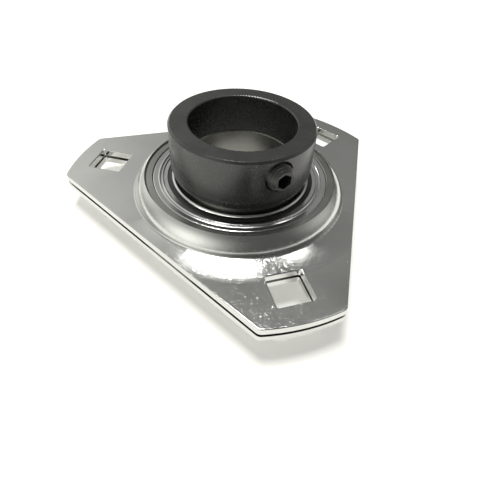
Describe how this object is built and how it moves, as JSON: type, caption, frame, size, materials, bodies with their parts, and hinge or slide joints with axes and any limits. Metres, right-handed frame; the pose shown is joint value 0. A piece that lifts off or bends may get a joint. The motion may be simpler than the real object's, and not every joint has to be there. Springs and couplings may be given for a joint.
{
  "type": "flange mount bearing",
  "caption": "Triangular pressed-steel flange bearing unit with a self-aligning ball insert and an eccentric locking collar.",
  "frame": {"origin": "on the shaft axis, in the plane of the flange's rear face, which bolts against the machine", "axes": "+Z along the shaft axis out of the locking collar; -Y towards one corner of the flange; +X to the right seen from the collar side with that corner down"},
  "size_m": [0.107, 0.0942, 0.0341],
  "materials": {
    "zinc_sheet": "bright zinc plate on pressed steel, fine mottled grain",
    "ground_steel": "turned and ground bearing steel",
    "pressed_bright_steel": "bright pressed steel with circular sheen",
    "seal_rubber": "black nitrile rubber",
    "cage_steel": "oiled pressed steel",
    "ball_steel": "polished",
    "black_oxide": "satin black oxide on turned steel",
    "black_oxide_screw": "black oxide"
  },
  "bodies": {
    "housing": {"front_shell": "zinc_sheet", "back_shell": "zinc_sheet"},
    "outer_race": {"outer_ring": "ground_steel", "front_shield": "pressed_bright_steel", "back_shield": "pressed_bright_steel", "front_seal_lip": "seal_rubber", "back_seal_lip": "seal_rubber"},
    "inner_race": {"inner_ring": "ground_steel", "front_flinger": "pressed_bright_steel", "back_flinger": "pressed_bright_steel"},
    "cage": {"cage_front_half": "cage_steel", "cage_back_half": "cage_steel", "cage_rivets": "cage_steel"},
    "collar": {"locking_collar": "black_oxide"},
    "screw": {"set_screw": "black_oxide_screw"},
    "ball_1": {"ball_1": "ball_steel"},
    "ball_2": {"ball_2": "ball_steel"},
    "ball_3": {"ball_3": "ball_steel"},
    "ball_4": {"ball_4": "ball_steel"},
    "ball_5": {"ball_5": "ball_steel"},
    "ball_6": {"ball_6": "ball_steel"},
    "ball_7": {"ball_7": "ball_steel"},
    "ball_8": {"ball_8": "ball_steel"},
    "ball_9": {"ball_9": "ball_steel"}
  },
  "joints": [
    {"name": "self_align", "type": "hinge", "parent": "housing", "child": "outer_race", "pos_m": [0, 0, 0.0025], "axis": [1, 0, 0], "range_deg": [-3, 3]},
    {"name": "shaft_spin", "type": "hinge", "parent": "outer_race", "child": "inner_race", "pos_m": [0, 0, 0.0025], "axis": [0, 0, 1], "continuous": true},
    {"name": "cage_spin", "type": "hinge", "parent": "outer_race", "child": "cage", "pos_m": [0, 0, 0.0025], "axis": [0, 0, 1], "continuous": true},
    {"name": "collar_lock", "type": "hinge", "parent": "inner_race", "child": "collar", "pos_m": [0, 0, 0.0025], "axis": [0, 0, 1], "range_deg": [-25, 25]},
    {"name": "set_screw_travel", "type": "slide", "parent": "collar", "child": "screw", "axis": [0.1908, -0.9816, 0], "range_m": [-0.0025, 0.004]},
    {"name": "ball_1_roll", "type": "hinge", "parent": "cage", "child": "ball_1", "pos_m": [0.023, 0, 0.0025], "axis": [0, 0, 1], "continuous": true},
    {"name": "ball_2_roll", "type": "hinge", "parent": "cage", "child": "ball_2", "pos_m": [0.01762, 0.01478, 0.0025], "axis": [0, 0, 1], "continuous": true},
    {"name": "ball_3_roll", "type": "hinge", "parent": "cage", "child": "ball_3", "pos_m": [0.00399, 0.02265, 0.0025], "axis": [0, 0, 1], "continuous": true},
    {"name": "ball_4_roll", "type": "hinge", "parent": "cage", "child": "ball_4", "pos_m": [-0.0115, 0.01992, 0.0025], "axis": [0, 0, 1], "continuous": true},
    {"name": "ball_5_roll", "type": "hinge", "parent": "cage", "child": "ball_5", "pos_m": [-0.02161, 0.00787, 0.0025], "axis": [0, 0, 1], "continuous": true},
    {"name": "ball_6_roll", "type": "hinge", "parent": "cage", "child": "ball_6", "pos_m": [-0.02161, -0.00787, 0.0025], "axis": [0, 0, 1], "continuous": true},
    {"name": "ball_7_roll", "type": "hinge", "parent": "cage", "child": "ball_7", "pos_m": [-0.0115, -0.01992, 0.0025], "axis": [0, 0, 1], "continuous": true},
    {"name": "ball_8_roll", "type": "hinge", "parent": "cage", "child": "ball_8", "pos_m": [0.00399, -0.02265, 0.0025], "axis": [0, 0, 1], "continuous": true},
    {"name": "ball_9_roll", "type": "hinge", "parent": "cage", "child": "ball_9", "pos_m": [0.01762, -0.01478, 0.0025], "axis": [0, 0, 1], "continuous": true}
  ],
  "couplings": [
    {"joint": "cage_spin", "follows": "shaft_spin", "ratio": 0.39647},
    {"joint": "ball_1_roll", "follows": "shaft_spin", "ratio": -2.3112},
    {"joint": "ball_2_roll", "follows": "shaft_spin", "ratio": -2.3112},
    {"joint": "ball_3_roll", "follows": "shaft_spin", "ratio": -2.3112},
    {"joint": "ball_4_roll", "follows": "shaft_spin", "ratio": -2.3112},
    {"joint": "ball_5_roll", "follows": "shaft_spin", "ratio": -2.3112},
    {"joint": "ball_6_roll", "follows": "shaft_spin", "ratio": -2.3112},
    {"joint": "ball_7_roll", "follows": "shaft_spin", "ratio": -2.3112},
    {"joint": "ball_8_roll", "follows": "shaft_spin", "ratio": -2.3112},
    {"joint": "ball_9_roll", "follows": "shaft_spin", "ratio": -2.3112}
  ]
}
